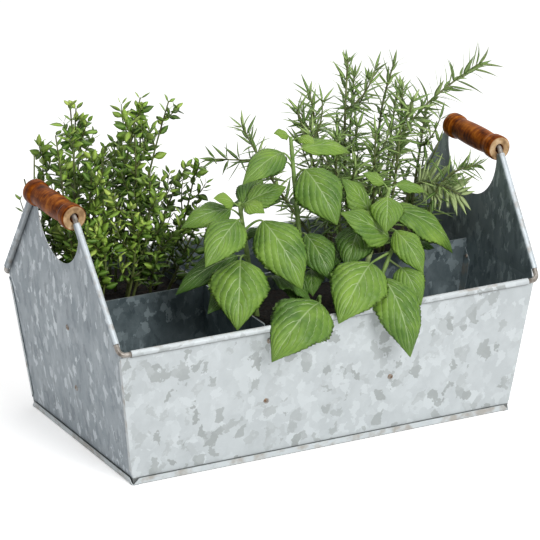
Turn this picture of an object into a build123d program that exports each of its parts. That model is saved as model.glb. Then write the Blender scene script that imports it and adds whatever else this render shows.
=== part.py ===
from build123d import *
import math
import os

# Herb planter of galvanised sheet: a trough with leaning walls and wired rims, two gable ends that
# carry turned wooden grips, dividers that make two rows of three bays, and herbs in three of the bays.
# Millimetres. +X along the trough, -Y the front, +Z up, origin on the ground under the middle.

# Trough: the rim is measured between wire axes, the foot between the outer faces of the walls, and the
# ends and the long walls flare from the foot to the rim
rim_length = 400.0
rim_width = 229.0
rim_height = 123.0
end_flare = 18.5
side_flare = 15.0
foot_length = rim_length - 2 * end_flare
foot_width = rim_width - 2 * side_flare
sheet = 0.7
seam_gap = 0.1

# Wired bead along the rim and the gables, with bare wire at the rim corners
wire_diameter = 4.4
wire_play = 0.1
curl_angle = 290.0
corner_gap = 10.0
corner_dip = 3.5
corner_bend = 6.0
wire_splice = 4.0

# Base pan with an upturned flange round the feet of the walls
pan_flange = 6.0
pan_gap = 0.9
pan_bend = 1.5

# Strip of each long wall that is folded round the corner onto the end panel
lap_width = 4.0
lap_foot = 9.0
lap_bend = 0.6

# Gable ends with a finger cut-out under each grip
gable_lean = 2.5
finger_bottom = 169.0
finger_margin = 1.0
horn_margin = 7.0

# Turned grips, loose on the handle wire
grip_height = 220.0
grip_length = 80.4
grip_bore = 7.8
grip_play = 0.2
collar_diameter = 22.0
collar_length = 11.5
collar_round = 1.4
neck_diameter = 18.8
swell_diameter = 20.2
neck_step = 1.6
shoulder_inset = 1.0
shoulder_bend = 6.0

# Dividers: one along the trough and two across it, halved into each other and level with the bead
divider_rise = 3.5
divider_height = rim_height + divider_rise
bay_half = 65.0
divider_hem = 8.0
hem_inset = 2.0
tab_width = 10.0
tab_drop = 4.5
slot_clearance = 0.2

# Blind rivets through the walls and the tabs of the dividers
rivet_shank = 3.0
rivet_head = 5.2
rivet_head_height = 0.9
rivet_tail = 4.2
rivet_hole_play = 0.1
rivet_drop = 12.0
rivet_pitch = 56.0
rivet_high = rim_height - rivet_drop
rivet_low = rivet_high - rivet_pitch

# Potting soil, standing clear of the sheet round it
soil_drop = 11.0
soil_level = rim_height - soil_drop
soil_gap = 0.4
rivet_room = 2.6

# Herb twigs: the stem and the spread of the leaves round it
twig_stem = 2.6
twig_tip = 1.6
thyme_spread = 15.0
rosemary_spread = 16.0
bare_share = 0.22

# Basil: stems and leaf blades
basil_stem_foot = 5.0
basil_stem_top = 3.2
petiole = 2.0
petiole_gap = 0.3
leaf_thickness = 0.8

# Twigs grow with the grips: the tables' heights are for grips this far above the soil
grip_over_soil = 108.0
twig_growth = (grip_height - soil_level) / grip_over_soil

# Foot and tip of each thyme twig from the middle of its bay, tip heights above the soil
thyme_twigs = [
    ((-38, 2), (-38, -5, 176)),
    ((-48, -10), (-56, -14, 154)),
    ((-50, 12), (-66, 8, 132)),
    ((-22, 16), (-22, 18, 164)),
    ((-20, -8), (-12, -10, 148)),
    ((8, 8), (32, 4, 170)),
    ((26, 6), (58, 2, 164)),
    ((8, -14), (16, -16, 158)),
    ((24, 28), (44, 28, 148)),
    ((40, -4), (76, -12, 104)),
    ((42, -22), (74, -28, 70)),
    ((40, 22), (80, 14, 98)),
    ((22, -32), (36, -47, 62)),
    ((-4, -36), (-4, -50, 92)),
    ((-28, -34), (-34, -50, 84)),
    ((4, -30), (20, -38, 116)),
    ((-38, 34), (-42, 40, 126)),
    ((-8, 36), (-4, 46, 136)),
    ((20, 44), (30, 52, 118)),
    ((-56, 30), (-66, 30, 104)),
    ((0, 16), (4, 16, 126)),
    ((-28, -22), (-30, -30, 124)),
    ((-54, -30), (-60, -40, 92)),
]

# The same for rosemary
rosemary_twigs = [
    ((-2, -20), (88, -36, 168)),
    ((6, -6), (26, -8, 170)),
    ((-22, -6), (-26, -4, 178)),
    ((-8, -34), (8, -42, 158)),
    ((-38, 6), (-72, 4, 138)),
    ((-44, -10), (-132, -8, 134)),
    ((26, -44), (56, -92, 96)),
    ((18, -28), (60, -34, 52)),
    ((-28, 18), (-48, 24, 143)),
    ((-2, 22), (2, 34, 150)),
    ((24, 16), (52, 30, 146)),
    ((-40, -28), (-60, -46, 123)),
    ((36, -6), (68, 4, 118)),
    ((-20, -42), (-30, -62, 128)),
]

# Basil stems from the middle of their bay: foot, and top with its height above the soil
basil_stems = {
    "left": ((-40, 3), (-57, 3, 102)),
    "centre": ((12, 13), (-2, 15, 148)),
    "right": ((48, -9), (84, -5, 96)),
    "front": ((-4, -24), (-1, -37, 22)),
    "side": ((48, -31), (76, -25, 49)),
}

# Each basil leaf: its stem, the height of the joint on it, base and tip of the blade from the middle of
# the bay with heights above the soil, bend of the midrib, tilt about it, blade width
basil_leaves = [
    ("centre", 145, (-6, 12, 151), (-22, 8, 156), 50, 40, 12),
    ("centre", 144, (2, 8, 149), (9, -8, 147), 60, -20, 13),
    ("centre", 128, (9, 16, 136), (62, 25, 121), 60, -30, 22),
    ("centre", 124, (-12, 10, 137), (-60, -8, 121), 70, 30, 28),
    ("centre", 114, (-2, 22, 124), (-12, 46, 106), 60, 30, 26),
    ("centre", 108, (8, 8, 120), (20, -28, 79), 80, -30, 44),
    ("centre", 84, (-8, 21, 90), (-48, 44, 82), 70, 0, 30),
    ("centre", 78, (13, 22, 82), (46, 55, 69), 70, 0, 32),
    ("centre", 60, (6, 2, 64), (14, -30, 31), 70, -25, 34),
    ("centre", 27, (9, -3, 33), (-3, -28, 19), 60, -10, 22),
    ("centre", 34, (-8, 6, 34), (-46, -12, 27), 50, 20, 26),
    ("left", 98, (-63, 2, 103), (-85, -4, 112), 45, 45, 16),
    ("left", 99, (-55, -4, 103), (-46, -22, 98), 60, -25, 18),
    ("left", 91, (-48, 5, 101), (-12, 3, 109), 40, -40, 24),
    ("left", 89, (-50, 10, 97), (-22, 28, 110), 50, -20, 26),
    ("left", 88, (-62, 9, 95), (-106, 15, 83), 60, 30, 28),
    ("left", 80, (-60, -8, 88), (-103, -34, 61), 60, 25, 36),
    ("left", 76, (-40, -7, 86), (-23, -46, 34), 75, -30, 46),
    ("left", 52, (-67, -18, 59), (-89, -55, 12), 75, 5, 52),
    ("left", 45, (-60, 0, 56), (-116, 6, 28), 60, 30, 28),
    ("left", 32, (-57, -8, 36), (-104, -30, 21), 45, 15, 30),
    ("left", 66, (-46, 12, 68), (-26, 48, 49), 72, 0, 34),
    ("right", 93, (79, -3, 100), (61, 3, 110), 45, 40, 14),
    ("right", 92, (90, -5, 97), (120, -4, 86), 55, -35, 15),
    ("right", 84, (77, -13, 91), (65, -32, 66), 75, 5, 30),
    ("right", 62, (70, 4, 72), (44, 9, 106), 35, 45, 34),
    ("right", 46, (76, -19, 56), (28, -18, 86), 35, 50, 35),
    ("right", 70, (87, -2, 76), (146, -8, 27), 70, -40, 34),
    ("right", 46, (86, 0, 44), (140, 12, 26), 50, -20, 26),
    ("right", 62, (88, -20, 63), (104, -48, 30), 70, -25, 28),
    ("right", 56, (59, 3, 62), (36, -16, 34), 60, 15, 36),
    ("right", 40, (53, 0, 42), (22, 6, 28), 60, 0, 26),
    ("side", 46, (50, -34, 42), (-3, -73, 9), 70, 20, 52),
    ("side", 26, (57, -42, 30), (60, -85, -28), 105, -15, 42),
    ("side", 40, (86, -35, 32), (85, -73, 11), 80, -15, 26),
    ("front", 20, (-9, -46, 20), (-71, -80, -11), 85, 25, 54),
]

# Sizes that follow from the ones above
wire_radius = wire_diameter / 2
bead_bore = wire_radius + wire_play
bead_radius = bead_bore + sheet
foot_x = foot_length / 2
foot_y = foot_width / 2
rim_x = rim_length / 2
rim_y = rim_width / 2
wall_run = rim_y - foot_y
wall_slant = math.hypot(wall_run, rim_height)
wall_lean = math.atan2(wall_run, rim_height) - math.asin(bead_bore / wall_slant)
wall_rise = math.sqrt(wall_slant ** 2 - bead_bore ** 2)
gable_angle = math.radians(gable_lean)
crease_x = rim_x - bead_bore * math.cos(gable_angle)
crease_z = rim_height + bead_bore * math.sin(gable_angle)
end_lean = math.atan2(crease_x - foot_x, crease_z)
end_rise = math.hypot(crease_x - foot_x, crease_z)
wire_height = grip_height + grip_bore / 2 - wire_radius - grip_play
handle_rise = (wire_height - rim_height) / math.cos(gable_angle)
handle_x = rim_x + handle_rise * math.sin(gable_angle)
shoulder_y = grip_length / 2 - shoulder_inset
gable_run = rim_y - shoulder_y
gable_edge = math.hypot(gable_run, handle_rise)
gable_along = (-gable_run / gable_edge, handle_rise / gable_edge)
finger_radius = grip_length / 2 + finger_margin
finger_rise = (finger_bottom - crease_z) / math.cos(gable_angle) + finger_radius
pan_x = foot_x + (pan_gap + sheet) / math.cos(end_lean)
pan_y = foot_y + (pan_gap + sheet) / math.cos(wall_lean)
rivet_grip = 2 * sheet + seam_gap
bay_y = (foot_y + rim_y) / 4
end_bay_x = (bay_half + (foot_x + rim_x) / 2) / 2
far = 2 * rim_length

# Planes on the outer faces of the walls: local y climbs the wall, local z points outwards
front_face = Plane(
    (0, -foot_y, 0), x_dir=(1, 0, 0), z_dir=(0, -math.cos(wall_lean), -math.sin(wall_lean))
)
left_face = Plane(
    (-foot_x, 0, 0), x_dir=(0, -1, 0), z_dir=(-math.cos(end_lean), 0, -math.sin(end_lean))
)
gable_face = Plane(
    (-crease_x, 0, crease_z), x_dir=(0, -1, 0),
    z_dir=(-math.cos(gable_angle), 0, -math.sin(gable_angle)),
)


def across(part):
    """The same piece at the other end of the trough."""
    return mirror(part, about=Plane.YZ)


def behind(part):
    """The same piece at the back of the trough."""
    return mirror(part, about=Plane.XZ)


def plate(face_plane, points, thickness):
    """Flat sheet with straight edges on a plane, thickened along the plane's normal."""
    return extrude(face_plane * make_face(Polyline(*points, close=True)), amount=thickness)


def on_pan(part):
    """Trim what reaches below the top of the base pan."""
    return split(part, bisect_by=Plane.XY.offset(sheet), keep=Keep.TOP)


def rolled_sheet(height, tail):
    """Section of a sheet that runs from -tail to height and then curls outwards round a wire."""
    middle = (bead_bore, height)
    outer = CenterArc(middle, bead_radius, 180, -curl_angle)
    inner = CenterArc(middle, bead_bore, 180, -curl_angle)
    outline = [
        Line((-sheet, -tail), (-sheet, height)),
        outer,
        Line(outer @ 1, inner @ 1),
        inner,
        Line((0, height), (0, -tail)),
        Line((0, -tail), (-sheet, -tail)),
    ]
    return make_face(outline)


def rivet_places(spots, face_plane):
    """Planes on the outer face at the rivets, from pairs of distance along the face and height."""
    lean = math.asin(-face_plane.z_dir.Z)
    return [face_plane * Pos(x, z / math.cos(lean), 0) for x, z in spots]


front_rivets_at = rivet_places(
    [(side * (bay_half - tab_width / 2), z) for side in (-1, 1) for z in (rivet_low, rivet_high)],
    front_face,
)
left_rivets_at = rivet_places([(tab_width / 2, z) for z in (rivet_low, rivet_high)], left_face)


def drill(part, places):
    """Holes for the rivets through every sheet that they hold."""
    for place in places:
        part -= place * Cylinder(rivet_shank / 2 + rivet_hole_play, 8 * sheet)
    return part


def rivets(places):
    """Blind rivets: a low head with a dimple, a shank through the sheets and an upset tail."""
    shank = rivet_shank / 2
    head = rivet_head / 2
    tail = rivet_tail / 2
    top = rivet_head_height
    outline = Polyline(
        (0, 0.3 * top), (0.5 * shank, 0.3 * top), (0.7 * shank, top), (0.7 * head, 0.9 * top),
        (head, 0.25 * top), (head, 0), (shank, 0), (shank, -rivet_grip), (tail, -rivet_grip),
        (0.8 * tail, -rivet_grip - top), (0, -rivet_grip - top), close=True,
    )
    rivet = revolve(Plane.XZ * make_face(outline), axis=Axis.Z)
    return Compound(children=[place * rivet for place in places])


def base_pan():
    """Flat pan with a bent-up flange on each side, mitred so that the wall corners show."""
    def flange(half_length, reach, lean, section_plane, mitre):
        foot = reach - 4 * pan_bend
        lip = reach + pan_flange * math.tan(lean)
        thick = sheet / math.cos(lean)
        inside = reach - thick + sheet * math.tan(lean)
        section = make_face(Polyline(
            (foot, 0), (reach, 0), (lip, pan_flange), (lip - thick, pan_flange), (inside, sheet),
            (foot, sheet), close=True,
        ))
        corners = section.vertices()
        section = fillet(corners.sort_by_distance((reach, 0))[0], pan_bend)
        corners = section.vertices()
        section = fillet(corners.sort_by_distance((inside, sheet))[0], pan_bend - sheet)
        strip = extrude(section_plane * section, amount=half_length, both=True)
        for end in (-1, 1):
            strip = split(strip, bisect_by=mitre(end), keep=Keep.BOTTOM)
        return strip

    front = flange(
        pan_x, pan_y, wall_lean, Plane((0, 0, 0), x_dir=(0, -1, 0), z_dir=(-1, 0, 0)),
        lambda end: Plane((end * pan_x, 0, 0), z_dir=(end, 0, 1)),
    )
    left = flange(
        pan_y, pan_x, end_lean, Plane((0, 0, 0), x_dir=(-1, 0, 0), z_dir=(0, 1, 0)),
        lambda end: Plane((0, end * pan_y, 0), z_dir=(0, end, 1)),
    )
    floor = Pos(0, 0, sheet / 2) * Box(2 * (pan_x - 2 * pan_bend), 2 * (pan_y - 2 * pan_bend), sheet)
    return floor + front + behind(front) + left + across(left)


def corner_lap():
    """Strip of the front wall folded round the left corner onto the outside of the end panel."""
    def lap_point(z, inset):
        y = foot_y + z * math.tan(wall_lean) - inset / math.cos(wall_lean)
        return (y, z / math.cos(end_lean))

    top = rim_height - corner_dip - sheet
    points = [
        lap_point(lap_foot, 0), lap_point(top, 0), lap_point(top - lap_width, lap_width),
        lap_point(lap_foot + lap_width, lap_width),
    ]
    return plate(left_face.offset(seam_gap), points, sheet)


def front_wall():
    """Long wall with a rolled bead, a lap round each corner and notches that bare the corner wire."""
    section = Plane((0, -foot_y, 0), x_dir=front_face.z_dir, z_dir=(-1, 0, 0))
    wall = extrude(section * rolled_sheet(wall_rise, sheet), amount=rim_x, both=True)
    outside = left_face.offset(seam_gap + sheet)
    wall = split(wall, bisect_by=outside, keep=Keep.BOTTOM)
    wall = across(split(across(wall), bisect_by=outside, keep=Keep.BOTTOM))
    notch = Pos(-rim_x + corner_gap - far / 2, -rim_y, rim_height - corner_dip + far / 2)
    notch *= Box(far, rim_width, far)
    wall = wall - notch - across(notch)
    foot = plate(left_face, [(-far, -far), (far, -far), (far, lap_foot), (-far, lap_foot)], far)
    wall = wall - foot - across(foot)
    lap = corner_lap()
    wall = wall + lap + across(lap)
    middle = (lap_foot + rim_height - corner_dip) / 2
    corner = (
        -foot_x - middle * math.tan(end_lean) - (seam_gap + sheet) / math.cos(end_lean),
        -foot_y - middle * math.tan(wall_lean),
        middle,
    )
    opposite = (-corner[0], corner[1], corner[2])
    folds = [wall.edges().sort_by_distance(spot)[0] for spot in (corner, opposite)]
    wall = fillet(folds, lap_bend)
    return drill(on_pan(wall), front_rivets_at)


def left_end_panel():
    """End panel, creased at the rim, with a gable above it, two wired edges and a finger cut-out."""
    def half_width(rise):
        inset = (sheet + seam_gap) / math.cos(wall_lean)
        return foot_y - inset + rise * math.cos(end_lean) * math.tan(wall_lean)

    low, high = half_width(0), half_width(end_rise)
    lower = plate(left_face, [(-low, 0), (low, 0), (high, end_rise), (-high, end_rise)], -sheet)
    hip = (rim_y + gable_along[0] * corner_gap, gable_along[1] * corner_gap)
    horn = (shoulder_y - gable_along[0] * horn_margin, handle_rise - gable_along[1] * horn_margin)
    right_half = [(high, 0), hip, horn]
    left_half = [(-x, y) for x, y in reversed(right_half)]
    upper = plate(gable_face, right_half + left_half, -sheet)
    finger = Pos(0, finger_rise) * Circle(finger_radius)
    finger += Pos(0, finger_rise + far / 2) * Rectangle(2 * finger_radius, far)
    upper -= extrude(gable_face * finger, amount=2 * sheet, both=True)
    along = gable_face.x_dir * gable_along[0] + gable_face.y_dir * gable_along[1]
    start = gable_face.from_local_coords((rim_y, 0, 0)) + along * corner_gap
    edge = Plane(start, x_dir=gable_face.z_dir, z_dir=along)
    bead = extrude(edge * rolled_sheet(0, 2 * sheet), amount=gable_edge - corner_gap - horn_margin)
    panel = lower + upper + bead + behind(bead)
    return drill(on_pan(panel), left_rivets_at)


def wire_along(points, bends):
    """Round wire swept along straight runs joined by tangent bends."""
    path = FilletPolyline(*points, radius=bends)
    return sweep(Plane(path @ 0, z_dir=path % 0) * Circle(wire_radius), path=path)


def gable_wire_point(distance):
    """Point on the axis of the front gable wire of the left end, measured from the rim corner."""
    x = rim_y + gable_along[0] * distance
    y = gable_along[1] * distance
    return gable_face.from_local_coords((x, y, bead_bore))


def front_rim_wire():
    """Wire in the front bead, bent up into the gables at both ends."""
    stub = gable_wire_point(corner_gap + wire_splice)
    corner = gable_wire_point(0)
    points = [stub, corner, Vector(-corner.X, corner.Y, corner.Z), Vector(-stub.X, stub.Y, stub.Z)]
    return wire_along(points, corner_bend)


def left_handle_wire():
    """Wire up one gable edge, through the grip and down the other edge."""
    stub = gable_wire_point(corner_gap + wire_splice)
    shoulder = gable_wire_point(gable_edge)
    points = [stub, shoulder]
    points += [Vector(point.X, -point.Y, point.Z) for point in (shoulder, stub)]
    return wire_along(points, shoulder_bend)


def left_grip():
    """Turned grip: a collar at each end, a step down to the neck and a gentle swell between."""
    half = grip_length / 2
    bore, collar, neck = grip_bore / 2, collar_diameter / 2, neck_diameter / 2
    step = half - collar_length
    upper = [
        Line((bore, 0), (bore, half)),
        Line((bore, half), (collar - collar_round, half)),
        RadiusArc((collar - collar_round, half), (collar, half - collar_round), collar_round),
        Line((collar, half - collar_round), (collar, step)),
        Line((collar, step), (neck, step - neck_step)),
    ]
    lower = [edge.mirror(Plane.XZ) for edge in upper]
    swell = ThreePointArc((neck, step - neck_step), (swell_diameter / 2, 0), (neck, neck_step - step))
    grip = revolve(make_face(upper + lower + [swell]), axis=Axis.Y)
    return Pos(-handle_x, 0, grip_height) * grip


def inner_x(z, gap):
    """Distance from the middle to the inner face of an end panel at a height, less a gap."""
    lean = end_lean if z <= crease_z else gable_angle
    return crease_x + (z - crease_z) * math.tan(lean) - (sheet + gap) / math.cos(lean)


def inner_y(z, gap):
    """The same for the inner face of a long wall."""
    return foot_y + z * math.tan(wall_lean) - (sheet + gap) / math.cos(wall_lean)


def divider_tab(face_plane, lean, start, width):
    """Tab bent from a divider's end to lie on a wall, with a mitred top."""
    top = (crease_z - tab_drop) / math.cos(lean)
    points = [(start, 0), (start + width, 0), (start + width, top - abs(width)), (start, top)]
    return plate(face_plane.offset(-sheet - seam_gap), points, -sheet)


def halving_slot(width_x, width_y, low, high):
    """Space that one divider leaves for the other, with clearance all round."""
    room = 2 * slot_clearance
    return Pos(0, 0, (low + high) / 2) * Box(width_x + room, width_y + room, high - low)


halving_height = (sheet + divider_height) / 2


def long_divider():
    """Divider on the middle line, with a hem on its front, a tab at each end and slots from below."""
    heights = [0, crease_z, divider_height]
    right = [(inner_x(z, seam_gap), z) for z in heights]
    outline = right + [(-x, z) for x, z in reversed(right)]
    web = plate(Plane((0, sheet / 2, 0), x_dir=(1, 0, 0), z_dir=(0, -1, 0)), outline, sheet)
    hem_top = inner_x(crease_z, seam_gap) - hem_inset
    hem = Pos(0, -sheet, divider_height - divider_hem / 2) * Box(2 * hem_top, sheet, divider_hem)
    tab = divider_tab(left_face, end_lean, -sheet / 2, tab_width + sheet / 2)
    divider = on_pan(web + hem + tab + across(tab))
    slot = halving_slot(sheet, 6 * sheet, 0, halving_height + slot_clearance)
    for side in (-1, 1):
        divider -= Pos(side * bay_half, 0, 0) * slot
    divider = drill(divider, left_rivets_at)
    return across(drill(across(divider), left_rivets_at))


def left_cross_divider():
    """Divider across the trough, with a hem and tabs on its inner side and a slot from above."""
    heights = [0, rim_height, divider_height]
    limit = inner_y(rim_height, seam_gap)
    back = [(min(inner_y(z, seam_gap), limit), z) for z in heights]
    outline = back + [(-y, z) for y, z in reversed(back)]
    web = plate(Plane((-bay_half - sheet / 2, 0, 0), x_dir=(0, 1, 0), z_dir=(1, 0, 0)), outline, sheet)
    hem_length = 2 * (limit - hem_inset)
    hem = Pos(sheet - bay_half, 0, divider_height - divider_hem / 2)
    hem *= Box(sheet, hem_length, divider_hem)
    tab = divider_tab(front_face, wall_lean, -bay_half - sheet / 2, tab_width + sheet / 2)
    divider = on_pan(web + hem + tab + behind(tab))
    slot = halving_slot(8 * sheet, 2 * sheet, halving_height - slot_clearance, divider_height + sheet)
    divider -= Pos(-bay_half, -sheet / 2, 0) * slot
    divider = drill(divider, front_rivets_at)
    return behind(drill(behind(divider), front_rivets_at))


def soil(low_x, high_x, low_y, high_y, wall_room):
    """Block of soil in one bay, trimmed to the lean of the walls that it meets."""
    block = Pos((low_x + high_x) / 2, (low_y + high_y) / 2, (sheet + soil_level) / 2)
    block *= Box(high_x - low_x, high_y - low_y, soil_level - sheet)
    end = left_face.offset(-sheet - soil_gap)
    wall = front_face.offset(-sheet - wall_room)
    block = split(block, bisect_by=wall, keep=Keep.BOTTOM)
    block = behind(split(behind(block), bisect_by=wall, keep=Keep.BOTTOM))
    block = split(block, bisect_by=end, keep=Keep.BOTTOM)
    return across(split(across(block), bisect_by=end, keep=Keep.BOTTOM))


inner_edge = bay_half - sheet / 2 - soil_gap
outer_edge = bay_half + sheet / 2 + soil_gap
middle_edge = sheet / 2 + soil_gap


def thyme_soil():
    """Soil in the bay at the back on the left."""
    return soil(-rim_x, -outer_edge, middle_edge, rim_y, soil_gap)


def rosemary_soil():
    """Soil in the bay at the back on the right."""
    return soil(outer_edge, rim_x, middle_edge, rim_y, soil_gap)


def basil_soil():
    """Soil in the middle bay at the front, clear of the hems, tabs and rivets in it."""
    side = inner_edge - 2 * sheet
    return soil(-side, side, -rim_y, -middle_edge - 2 * sheet, rivet_room)


def on_soil(part):
    """Trim a stem flush with the top of the soil."""
    return split(part, bisect_by=Plane.XY.offset(soil_level), keep=Keep.TOP)


def twig(bay, foot, tip, spread):
    """Twig with the outline of its leaves: a bare stem, then a spindle that closes at the tip."""
    start = Vector(bay[0] + foot[0], bay[1] + foot[1], soil_level)
    run = Vector(bay[0] + tip[0], bay[1] + tip[1], soil_level + tip[2] * twig_growth) - start
    length = run.length
    bare = bare_share * length
    stem = twig_stem / 2
    outline = [
        Line((0, -spread), (stem, -spread)),
        Line((stem, -spread), (stem, bare)),
        ThreePointArc((stem, bare), (spread / 2, (bare + length) / 2), (twig_tip / 2, length)),
        Line((twig_tip / 2, length), (0, length)),
        Line((0, length), (0, -spread)),
    ]
    solid = revolve(Plane.XZ * make_face(outline), axis=Axis.Z)
    return on_soil(Plane(start, z_dir=run) * solid)


def twigs(bay, table, spread):
    """All the twigs of one herb."""
    return Compound(children=[twig(bay, foot, tip, spread) for foot, tip in table])


def basil_stem_line(name):
    """Foot and top of a basil stem."""
    foot, top = basil_stems[name]
    return (
        Vector(foot[0], foot[1] - bay_y, soil_level),
        Vector(top[0], top[1] - bay_y, soil_level + top[2]),
    )


def basil_stem(name):
    """Tapered stem, flush with the soil."""
    foot, top = basil_stem_line(name)
    run = top - foot
    outline = Polyline(
        (0, -basil_stem_foot), (basil_stem_foot / 2, -basil_stem_foot),
        (basil_stem_top / 2, run.length), (0, run.length), close=True,
    )
    stem = revolve(Plane.XZ * make_face(outline), axis=Axis.Z)
    return on_soil(Plane(foot, z_dir=run) * stem)


def in_basil_bay(place):
    """Point given from the middle of the basil's bay and the top of its soil."""
    return Vector(place[0], place[1] - bay_y, place[2] + soil_level)


def basil_leaf(name, height, base, tip, bend, tilt, width):
    """Leaf on a straight stalk: an ovate blade along a midrib that arches from its base to its tip."""
    start, end = in_basil_bay(base), in_basil_bay(tip)
    chord = end - start
    span = chord.length
    level = Vector(0, 0, 1).cross(chord).normalized()
    above = chord.normalized().cross(level)
    turn = math.radians(tilt)
    flat = Plane(start, x_dir=chord, z_dir=above * math.cos(turn) + level * math.sin(turn))
    upright = Plane(start, x_dir=chord, z_dir=flat.y_dir * -1)
    half_bend = math.radians(bend / 2)
    radius = span / (2 * math.sin(half_bend))
    middle = (span / 2, -radius * math.cos(half_bend))
    lower, rib, upper = [
        CenterArc(middle, radius + side * leaf_thickness / 2, 90 + bend / 2, -bend)
        for side in (-1, 0, 1)
    ]
    band = make_face([lower, upper, Line(lower @ 0, upper @ 0), Line(lower @ 1, upper @ 1)])
    edges = [
        Bezier((0, 0), (0.15 * span, side * 0.8 * width), (0.65 * span, side * 0.5 * width), (span, 0))
        for side in (-1, 1)
    ]
    blade = extrude(upright * band, amount=width, both=True)
    blade &= extrude(flat * make_face(edges), amount=span, both=True)
    foot, top = basil_stem_line(name)
    taper = height / (top.Z - foot.Z)
    joint = foot + (top - foot) * taper
    seat = upright.from_local_coords(rib @ (2 * petiole / rib.length))
    along = (seat - joint).normalized()
    slant = abs(along.dot((top - foot).normalized()))
    stem_radius = (basil_stem_foot + (basil_stem_top - basil_stem_foot) * taper) / 2
    clear = (stem_radius + petiole_gap + slant * petiole / 2) / math.sqrt(1 - slant ** 2)
    begin = joint + along * clear
    stalk = Cylinder(petiole / 2, (seat - begin).length, align=(Align.CENTER, Align.CENTER, Align.MIN))
    return blade + Plane(begin, z_dir=along) * stalk


def parts():
    """Every node of the planter by name."""
    front, left = front_wall(), left_end_panel()
    rim_wire, handle_wire = front_rim_wire(), left_handle_wire()
    grip, cross = left_grip(), left_cross_divider()
    front_rivets, left_rivets = rivets(front_rivets_at), rivets(left_rivets_at)
    return {
        "base_pan": base_pan(),
        "front_wall": front,
        "back_wall": behind(front),
        "left_end_panel": left,
        "right_end_panel": across(left),
        "front_rim_wire": rim_wire,
        "back_rim_wire": behind(rim_wire),
        "left_handle_wire": handle_wire,
        "right_handle_wire": across(handle_wire),
        "left_grip": grip,
        "right_grip": across(grip),
        "long_divider": long_divider(),
        "left_cross_divider": cross,
        "right_cross_divider": across(cross),
        "front_rivets": front_rivets,
        "back_rivets": behind(front_rivets),
        "left_end_rivets": left_rivets,
        "right_end_rivets": across(left_rivets),
        "thyme_soil": thyme_soil(),
        "thyme_twigs": twigs((-end_bay_x, bay_y), thyme_twigs, thyme_spread),
        "rosemary_soil": rosemary_soil(),
        "rosemary_twigs": twigs((end_bay_x, bay_y), rosemary_twigs, rosemary_spread),
        "basil_soil": basil_soil(),
        "basil_stems": Compound(children=[basil_stem(name) for name in basil_stems]),
        "basil_leaves": Compound(children=[basil_leaf(*leaf) for leaf in basil_leaves]),
    }


os.makedirs("parts", exist_ok=True)
for node, solid in parts().items():
    export_step(solid, f"parts/{node}.step")
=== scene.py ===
import bpy
import numpy as np
from mathutils import Matrix, Vector


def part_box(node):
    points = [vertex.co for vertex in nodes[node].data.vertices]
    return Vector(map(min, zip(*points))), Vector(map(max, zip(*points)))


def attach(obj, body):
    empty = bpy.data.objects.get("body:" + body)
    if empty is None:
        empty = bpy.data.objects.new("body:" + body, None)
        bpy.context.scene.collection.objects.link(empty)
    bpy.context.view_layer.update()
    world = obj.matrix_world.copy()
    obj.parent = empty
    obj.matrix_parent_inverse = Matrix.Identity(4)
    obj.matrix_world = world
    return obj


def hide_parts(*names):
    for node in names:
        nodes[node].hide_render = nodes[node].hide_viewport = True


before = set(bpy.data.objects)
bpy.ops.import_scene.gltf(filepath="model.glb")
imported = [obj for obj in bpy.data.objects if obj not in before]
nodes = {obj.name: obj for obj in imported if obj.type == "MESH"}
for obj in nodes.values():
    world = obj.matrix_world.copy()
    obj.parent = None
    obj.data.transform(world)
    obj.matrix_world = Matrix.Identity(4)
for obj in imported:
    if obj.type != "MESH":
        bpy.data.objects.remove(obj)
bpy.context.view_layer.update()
MM = 0.001

# Sizes that the pieces share with the solids, in millimetres
SOIL_LEVEL = 112.0
BAY_Y = 53.5
END_BAY_X = 127.875
GRIP_X = 204.3
GRIP_Z = 220.0
PAN_FLANGE = 6.0

# Foliage keeps inside the end panels up to the top of the grips, further in beside the grips, and below
# the crown's own top, and the thyme keeps to its own part of the length
PANEL_X = 195.5
BESIDE_GRIP_X = 191.0
GRIP_END = 44.0
GRIP_LOW = 204.0
GRIP_TOP = 234.0
CROWN_TOP = 303.0
THYME_LEFT = -184.0
THYME_RIGHT = -46.0

# Side veins on each half of a basil leaf, how far along the leaf one runs on its way to the edge, and
# the power that curves it
VEINS = 6
VEIN_SWEEP = 0.62
VEIN_CURVE = 1.1

# Teeth along each edge of a basil leaf, and swollen joints along a basil stem
TEETH = 19
STEM_JOINTS = 6

# Depths in the soil at which basil stems and the twigs of the other herbs start, how far from the axis
# of its twig a small leaf starts, and about how high the thyme grows, in millimetres
STEM_DEPTH = 4
TWIG_DEPTH = 3
LEAF_START = 0.5
THYME_HEIGHT = 170

# Stations along a side shoot, and needles round a rosemary twig at one node
SHOOT_STATIONS = 7
NEEDLES = 6


def colour(code):
    """sRGB hex code to the linear red, green, blue and alpha that shaders take."""
    part = np.array([int(code[i:i + 2], 16) for i in (1, 3, 5)]) / 255
    linear = np.where(part <= 0.04045, part / 12.92, ((part + 0.055) / 1.055) ** 2.4)
    return (*linear, 1.0)


def add(tree, kind, settings=None, **inputs):
    """Adds a node: settings are its properties, or a ramp's stops, and inputs are its sockets.

    A socket is named with _ for a space, or by number as i0. An output given for it is linked."""
    node = tree.nodes.new(kind)
    for key, value in (settings or {}).items():
        if key == "stops":
            elements = node.color_ramp.elements
            for place, _ in value[1:-1]:
                elements.new(place)
            for element, (place, code) in zip(elements, value):
                element.position, element.color = place, colour(code)
        else:
            setattr(node, key, value)
    for key, value in inputs.items():
        socket = node.inputs[int(key[1:]) if key[1:].isdigit() else key.replace("_", " ")]
        if isinstance(value, bpy.types.NodeSocket):
            tree.links.new(value, socket)
        else:
            socket.default_value = value
    return node


def material(name):
    """New material with an empty node tree."""
    made = bpy.data.materials.new(name)
    made.use_nodes = True
    made.node_tree.nodes.clear()
    return made, made.node_tree


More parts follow.
